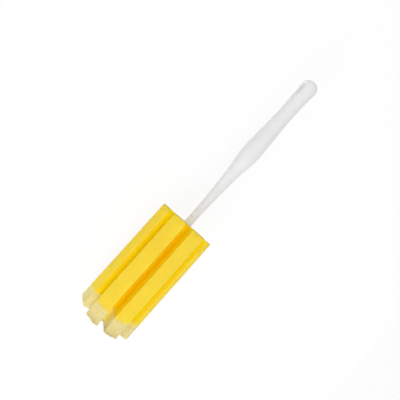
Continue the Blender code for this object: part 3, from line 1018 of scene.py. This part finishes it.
def makePlasticMaterial(name, look):
    # The hanging slot's walls get a lighter colour, painted light on their shaded walls, in a box just
    # wider than the slot.
    s = plasticSkin
    made, tree, shader, coordinates = newMaterial(name, {"Roughness": look["roughness"]})
    inputs = {"Place": coordinates, "Grain size": s["grainSize"]}
    skin = place(tree, "ShaderNodeGroup", inputs, node_tree=plasticGroup).outputs
    tone = between(tree, skin["Tone"], *s["dullNoise"])
    slotMiddle = handleLow[0] + grip["slotFromEnd"] + grip["slotLength"] / 2
    parts = place(tree, "ShaderNodeSeparateXYZ", {"Vector": coordinates}).outputs
    slotLight = 1.0
    spans = (("X", slotMiddle, grip["slotLength"]), ("Z", axisHeight, grip["slotWidth"]))
    for axis, middle, size in spans:
        away = maths(tree, "ABSOLUTE", maths(tree, "SUBTRACT", parts[axis], middle))
        edge = size / 2
        slotLight = product(tree, slotLight, between(tree, away, edge, edge + s["slotMargin"], 1.0, 0.0))
    # painted light on the slot's walls
    colour = blend(tree, slotLight, blend(tree, tone, look["colour"], look["dull"]), look["slotLight"])
    tree.links.new(colour, shader.inputs["Base Color"])
    smooth = look["roughness"]
    rough = between(tree, skin["Rubbed"], 0.0, 1.0, smooth, smooth + s["rubbedRough"])
    tree.links.new(rough, shader.inputs["Roughness"])
    addBump(tree, shader, skin["Height"], s["height"], s["bumpStrength"])
    return made


screwSteel = {
    "colours": ((0.66, 0.66, 0.68), (0.52, 0.52, 0.54)),
    "roughness": 0.3,
    "marksRoughness": (0.24, 0.42),
    "marks": 9000.0,  # in a metre
    "marksNoise": (0.3, 0.7),
}


def makeSteelMaterial():
    # Plain steel with fine marks.
    s = screwSteel
    inputs = {"Roughness": s["roughness"], "Metallic": 1.0}
    made, tree, shader, coordinates = newMaterial("screw steel", inputs)
    marks = noise(tree, coordinates, s["marks"], 2.0)["Fac"]
    tree.links.new(blend(tree, marks, *s["colours"]), shader.inputs["Base Color"])
    rough = between(tree, marks, *s["marksNoise"], *s["marksRoughness"])
    tree.links.new(rough, shader.inputs["Roughness"])
    return made


handleFinish = makePlasticMaterial("white handle plastic", handlePlastic)
coreFinish = makePlasticMaterial("white core plastic", corePlastic)
yellowFinish = makeFoamMaterial("yellow foam", yellowFoam)
creamFinish = makeFoamMaterial("cream foam", creamFoam)
steelFinish = makeSteelMaterial()
pieceTable = (
    (handlePiece, handleFinish, "handle", "handle_plastic"),
    (corePiece, coreFinish, "head_core", "core_plastic"),
    (bodyPiece, yellowFinish, "sponge_body", "yellow_foam"),
    (tipPiece, creamFinish, "sponge_tip", "cream_foam"),
)
for piece, finish, node, slotName in pieceTable:
    piece.data.materials.append(finish)
    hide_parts(node)
    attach(piece, "root")
for node, finish in (("retaining_disc", coreFinish), ("disc_screw", steelFinish)):
    for materialSlot in nodes[node].material_slots:
        materialSlot.material = finish
print("finishes made")


# Floor, light and camera

studio = {
    "floorSize": 6.0,
    "floorColour": (0.95, 0.95, 0.95),
    "floorShare": 0.88,  # how much of the floor seen directly is plain white
    "skyStrength": 0.42,
    # Each soft lamp: where it is, how wide, and its share of the full light on what faces it.
    "lamps": {
        "key": ((0.93, -0.31, 0.75), 0.80, 0.36),
        "left": ((0.10, -0.82, 0.74), 0.80, 0.15),
        "lowTip": ((1.05, 0.10, 0.30), 0.60, 0.41),
        "nearRight": ((0.10, 0.36, 0.10), 0.25, 0.165),
        "top": ((0.08, 0.04, 1.10), 0.80, 0.15),
        "back": ((-1.25, -0.33, 0.87), 1.20, 0.28),
    },
}


def seenDirectly(tree):
    # 1 for rays from the camera, in mirrors and in glass, which show the plain background.
    path = tree.nodes.new("ShaderNodeLightPath").outputs
    mirrored = maths(tree, "MAXIMUM", path["Is Camera Ray"], path["Is Glossy Ray"])
    return maths(tree, "MAXIMUM", mirrored, path["Is Transmission Ray"])


def makeFloor():
    half = studio["floorSize"] / 2
    mesh = bpy.data.meshes.new("floor")
    corners = [(-half, -half, 0), (half, -half, 0), (half, half, 0), (-half, half, 0)]
    mesh.from_pydata(corners, [], [(0, 1, 2, 3)])
    floor = addObject("floor", mesh)
    made = bpy.data.materials.new("pale floor")
    made.use_nodes = True
    tree = made.node_tree
    tree.nodes.remove(tree.nodes["Principled BSDF"])
    paper = place(tree, "ShaderNodeBsdfDiffuse", {"Color": (*studio["floorColour"], 1.0)})
    white = place(tree, "ShaderNodeEmission", {"Strength": 1.0})
    share = maths(tree, "MULTIPLY", seenDirectly(tree), studio["floorShare"])
    mix = place(tree, "ShaderNodeMixShader", {0: share, 1: paper.outputs[0], 2: white.outputs[0]})
    tree.links.new(mix.outputs[0], tree.nodes["Material Output"].inputs["Surface"])
    mesh.materials.append(made)


def makeLight():
    world = bpy.data.worlds.new("studio")
    bpy.context.scene.world = world
    world.use_nodes = True
    tree = world.node_tree
    strength = between(tree, seenDirectly(tree), 0.0, 1.0, studio["skyStrength"], 1.0)
    background = tree.nodes["Background"].inputs
    background["Color"].default_value = (1.0, 1.0, 1.0, 1.0)
    tree.links.new(strength, background["Strength"])
    centre = Vector((foamFace, 0.0, axisHeight))
    for name, (spot, width, share) in studio["lamps"].items():
        # A disc lamp lights what faces it at full level when its power is (pi x distance)^2.
        away = centre - Vector(spot)
        lamp = bpy.data.lights.new(name, "AREA")
        lamp.shape = "DISK"
        lamp.size = width
        lamp.energy = share * (math.pi * away.length) ** 2
        holder = addObject(name, lamp)
        holder.location = spot
        holder.rotation_mode = "QUATERNION"
        holder.rotation_quaternion = away.to_track_quat("-Z", "Y")


shot = {
    "distance": 0.420,  # from the brush's axis
    "elevation": 60.0,
    "foot": 0.0072,  # where the camera stands along the brush, from the foam's face
    "panAlong": -4.503,
    "panAcross": -0.87,
    "roll": 41.915,
    "focalPixels": 432.8,
    "pictureWidth": 400,
    "sensorWidth": 36.0,
    "clipStart": 0.01,
}


def makeCamera():
    # The camera is fitted to the foam's corners, the two foams' border and the handle's end.
    along = Vector((1.0, 0.0, 0.0))
    up = math.radians(shot["elevation"])
    toCamera = Vector((0.0, -math.cos(up), math.sin(up)))
    across = Vector((0.0, math.sin(up), math.cos(up)))
    pan, side, roll = (math.radians(shot[name]) for name in ("panAlong", "panAcross", "roll"))
    look = (along * math.sin(pan) - toCamera * math.cos(pan)) * math.cos(side) + across * math.sin(side)
    down = (along - look * along.dot(look)).normalized()
    right = down.cross(look)
    screenX = right * math.cos(roll) - down * math.sin(roll)
    screenDown = right * math.sin(roll) + down * math.cos(roll)
    camera = bpy.data.cameras.new("camera")
    camera.sensor_width = shot["sensorWidth"]
    camera.lens = shot["focalPixels"] / shot["pictureWidth"] * camera.sensor_width
    camera.clip_start = shot["clipStart"]
    holder = addObject("camera", camera)
    spot = Vector((foamFace + shot["foot"], 0.0, axisHeight)) + toCamera * shot["distance"]
    turn = Matrix((screenX, -screenDown, -look)).transposed().to_4x4()
    holder.matrix_world = Matrix.Translation(spot) @ turn
    bpy.context.scene.camera = holder


makeFloor()
makeLight()
makeCamera()
bpy.context.scene.view_settings.view_transform = "Standard"
bpy.context.scene.cycles.diffuse_bounces = 12  # light goes deep into the foam's slots
print("floor, light and camera made")
